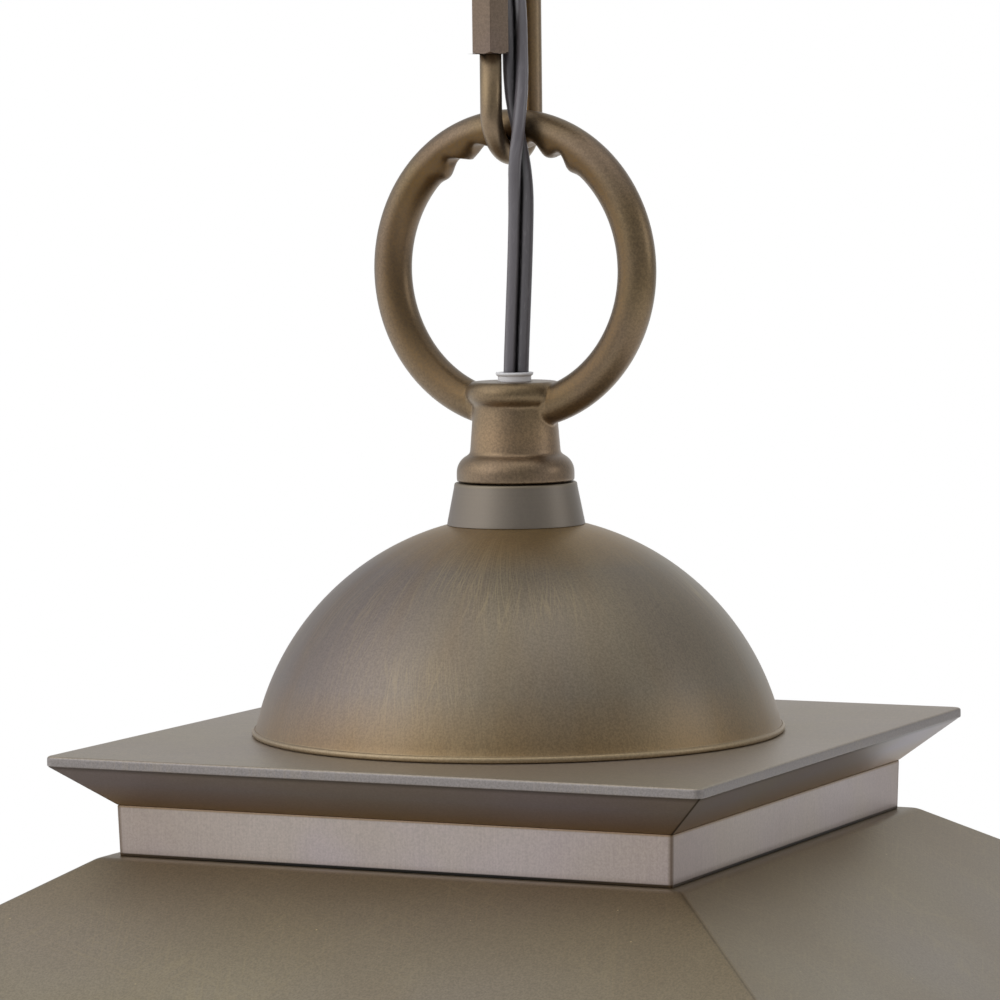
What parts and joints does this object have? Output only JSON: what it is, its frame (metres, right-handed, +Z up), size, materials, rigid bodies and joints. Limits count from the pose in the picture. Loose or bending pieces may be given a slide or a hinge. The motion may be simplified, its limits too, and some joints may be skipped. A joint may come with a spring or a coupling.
{
  "type": "hanging lantern",
  "caption": "Square outdoor lantern with a hipped roof, a domed cap and a glazed door, hung from a ceiling canopy by a chain, a quick link and a cast loop.",
  "frame": {"origin": "centre of the ceiling canopy's rim, in the plane of the ceiling", "axes": "+Z up into the ceiling along the hanging line, +X and +Y square to the lantern's faces, the door faces -Y"},
  "size_m": [0.3206, 0.3206, 0.7994],
  "materials": {
    "bare": "brushed grey-brown lacquer",
    "brass": "satin",
    "bulb": "clear lamp glass",
    "bushing": "milky plastic",
    "candle": "ivory sleeve",
    "cast": "mottled brown cast metal",
    "chain": "dark bronze plated",
    "glass": "clear seeded glass",
    "painted": "aged bronze paint",
    "rubber": "cord insulation",
    "socket": "moulded socket",
    "zinc": "zinc plated"
  },
  "bodies": {
    "ceiling": {"crossbar": "zinc", "ground_screw": "brass", "canopy": "painted", "canopy_nipple": "brass", "canopy_lock_nut": "brass", "canopy_ring_nut": "cast", "canopy_loop": "cast", "cord_1": "rubber"},
    "link_1": {"chain_link_1": "chain", "cord_2": "rubber"},
    "link_2": {"chain_link_2": "chain", "cord_3": "rubber"},
    "link_3": {"chain_link_3": "chain", "cord_4": "rubber"},
    "quick_link": {"quick_link": "chain", "cord_5": "rubber"},
    "sleeve": {"quick_link_sleeve": "chain"},
    "door": {"door_frame": "painted", "door_glass": "glass", "door_leaves": "cast", "door_knob": "cast"},
    "lantern": {"base_pan": "painted", "base_tray": "painted", "bottom_finial": "cast", "candle_sleeves": "candle", "cap_plate": "bare", "cap_soffit": "painted", "centre_nipple": "brass", "cluster_arms": "bare", "cluster_body": "cast", "cluster_knob": "cast", "cord_6": "rubber", "cord_7": "rubber", "cord_bushing": "bushing", "cornice_frame": "painted", "dome": "bare", "door_catch": "zinc", "drip_cups": "cast", "eave_ceiling": "painted", "glass_back": "glass", "glass_left": "glass", "glass_right": "glass", "hinge_pins": "cast", "lamp_bases": "brass", "lamp_bulbs": "bulb", "loop_hub": "cast", "neck_band": "bare", "post_back_left": "painted", "post_back_right": "painted", "post_front_left": "painted", "post_front_right": "painted", "post_leaves": "cast", "roof": "painted", "roof_brace": "zinc", "roof_lock_nut": "brass", "sill_frame": "painted", "sockets": "socket", "stem": "bare", "tapered_collar": "cast"}
  },
  "joints": [
    {"name": "link_1_swing", "type": "hinge", "parent": "ceiling", "child": "link_1", "pos_m": [0, 0, -0.056], "axis": [0.0847, 0.9964, 0], "range_deg": [-45, 45], "deforming": ["cord_2"]},
    {"name": "link_2_swing", "type": "hinge", "parent": "link_1", "child": "link_2", "pos_m": [0, 0, -0.08815], "axis": [0.9964, -0.0847, 0], "range_deg": [-45, 45], "deforming": ["cord_3"]},
    {"name": "link_3_swing", "type": "hinge", "parent": "link_2", "child": "link_3", "pos_m": [0, 0, -0.12085], "axis": [0.0847, 0.9964, 0], "range_deg": [-45, 45], "deforming": ["cord_4"]},
    {"name": "quick_link_swing", "type": "hinge", "parent": "link_3", "child": "quick_link", "pos_m": [0, 0, -0.15355], "axis": [0.9964, -0.0847, 0], "range_deg": [-45, 45], "deforming": ["cord_5"]},
    {"name": "lantern_swing", "type": "hinge", "parent": "quick_link", "child": "lantern", "pos_m": [0, 0, -0.2122], "axis": [0.0847, 0.9964, 0], "range_deg": [-40, 40], "deforming": ["cord_6"]},
    {"name": "sleeve_screw", "type": "slide", "parent": "quick_link", "child": "sleeve", "axis": [0, 0, 1], "range_m": [0, 0.013]},
    {"name": "door_hinge", "type": "hinge", "parent": "lantern", "child": "door", "pos_m": [-0.0826, -0.09989, -0.58066], "axis": [0.1005, 0.1005, -0.9898], "range_deg": [0, 110]}
  ]
}
